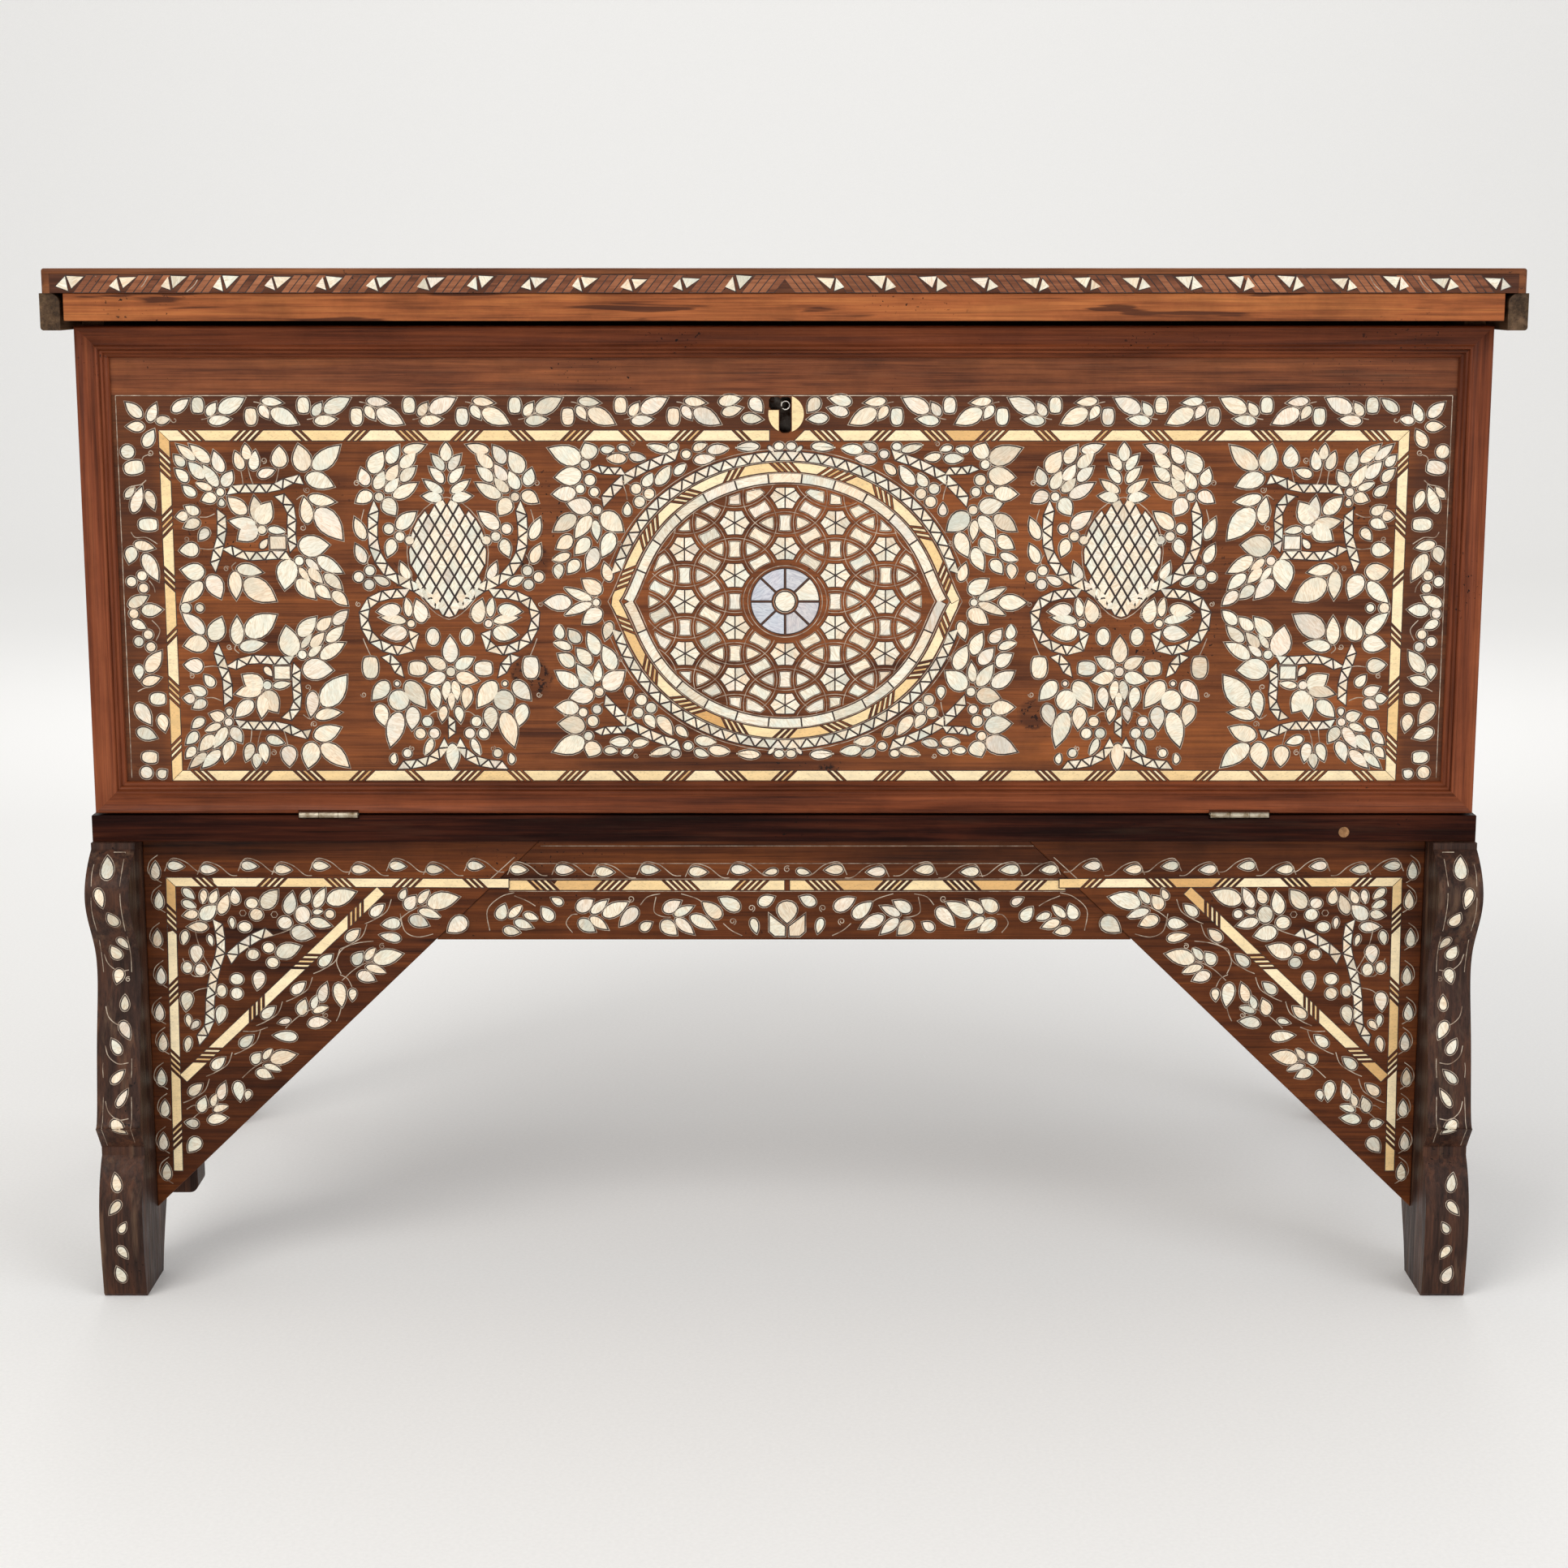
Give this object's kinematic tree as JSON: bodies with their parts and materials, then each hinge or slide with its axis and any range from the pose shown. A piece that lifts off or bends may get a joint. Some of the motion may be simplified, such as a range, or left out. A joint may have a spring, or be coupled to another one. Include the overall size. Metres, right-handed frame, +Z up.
{
  "type": "inlaid wedding chest",
  "caption": "Walnut dowry chest on board legs, its fall front, apron and legs inlaid with mother-of-pearl, bone and wire, with a lifting lid and a bolt lock.",
  "frame": {"origin": "on the floor, under the middle of the whole chest's box", "axes": "+X to the right-hand end as seen from the front, +Y towards the back (the inlaid front faces -Y), +Z up"},
  "size_m": [1.337, 0.6076, 0.967],
  "materials": {
    "field_walnut": "waxed",
    "moulding_walnut": "waxed",
    "dark_walnut": "worn, dark",
    "lid_walnut": "waxed",
    "plain_wood": "plain",
    "light_wood": "plain",
    "bone": "polished bone",
    "lock_iron": "worn",
    "hinge_steel": "tarnished"
  },
  "bodies": {
    "case": {"left_end_panel": "plain_wood", "right_end_panel": "plain_wood", "back_board_lower": "plain_wood", "back_board_middle": "plain_wood", "back_board_upper": "plain_wood", "case_floor": "plain_wood", "base_rail_front": "dark_walnut", "base_rail_left": "dark_walnut", "base_rail_right": "dark_walnut", "base_rail_back": "dark_walnut", "rail_peg": "light_wood", "front_left_leg": "dark_walnut", "front_right_leg": "dark_walnut", "back_left_leg": "plain_wood", "back_right_leg": "plain_wood", "left_bracket": "field_walnut", "right_bracket": "field_walnut", "apron_board": "field_walnut", "left_corner_block": "dark_walnut", "right_corner_block": "dark_walnut", "left_side_apron": "plain_wood", "right_side_apron": "plain_wood", "back_apron": "plain_wood", "flap_hinge_rail_leaves": "hinge_steel", "flap_hinge_pins": "hinge_steel", "lid_hinge_back_leaves": "lock_iron", "lid_hinge_pins": "lock_iron", "case_hinge_screws": "lock_iron"},
    "fall_front": {"flap_field_board": "field_walnut", "flap_top_board": "field_walnut", "flap_left_moulding": "moulding_walnut", "flap_right_moulding": "moulding_walnut", "flap_top_moulding": "moulding_walnut", "flap_bottom_moulding": "moulding_walnut", "keyhole_escutcheon": "bone", "lock_plate": "lock_iron", "lock_cover": "lock_iron", "lock_key_post": "lock_iron", "lock_screws": "lock_iron", "flap_hinge_flap_leaves": "hinge_steel", "flap_hinge_screws": "hinge_steel"},
    "bolt": {"lock_bolt": "lock_iron"},
    "lid": {"lid_board": "lid_walnut", "lid_front_band": "lid_walnut", "lid_left_band": "lid_walnut", "lid_right_band": "lid_walnut", "lid_front_rail": "lid_walnut", "lid_left_cleat": "dark_walnut", "lid_right_cleat": "dark_walnut", "lid_lock_block_left": "plain_wood", "lid_lock_block_right": "plain_wood", "lock_strike_plate": "lock_iron", "lid_hinge_lid_leaves": "lock_iron", "lid_hinge_screws": "lock_iron"}
  },
  "joints": [
    {"name": "lid_hinge", "type": "hinge", "parent": "case", "child": "lid", "pos_m": [0, 0.29935, 0.945], "axis": [-1, 0, 0], "range_deg": [0, 100]},
    {"name": "fall_front_hinge", "type": "hinge", "parent": "case", "child": "fall_front", "pos_m": [0, -0.26585, 0.463], "axis": [1, 0, 0], "range_deg": [0, 150]},
    {"name": "bolt_slide", "type": "slide", "parent": "fall_front", "child": "bolt", "axis": [0, 0, 1], "range_m": [0, 0.022]}
  ]
}
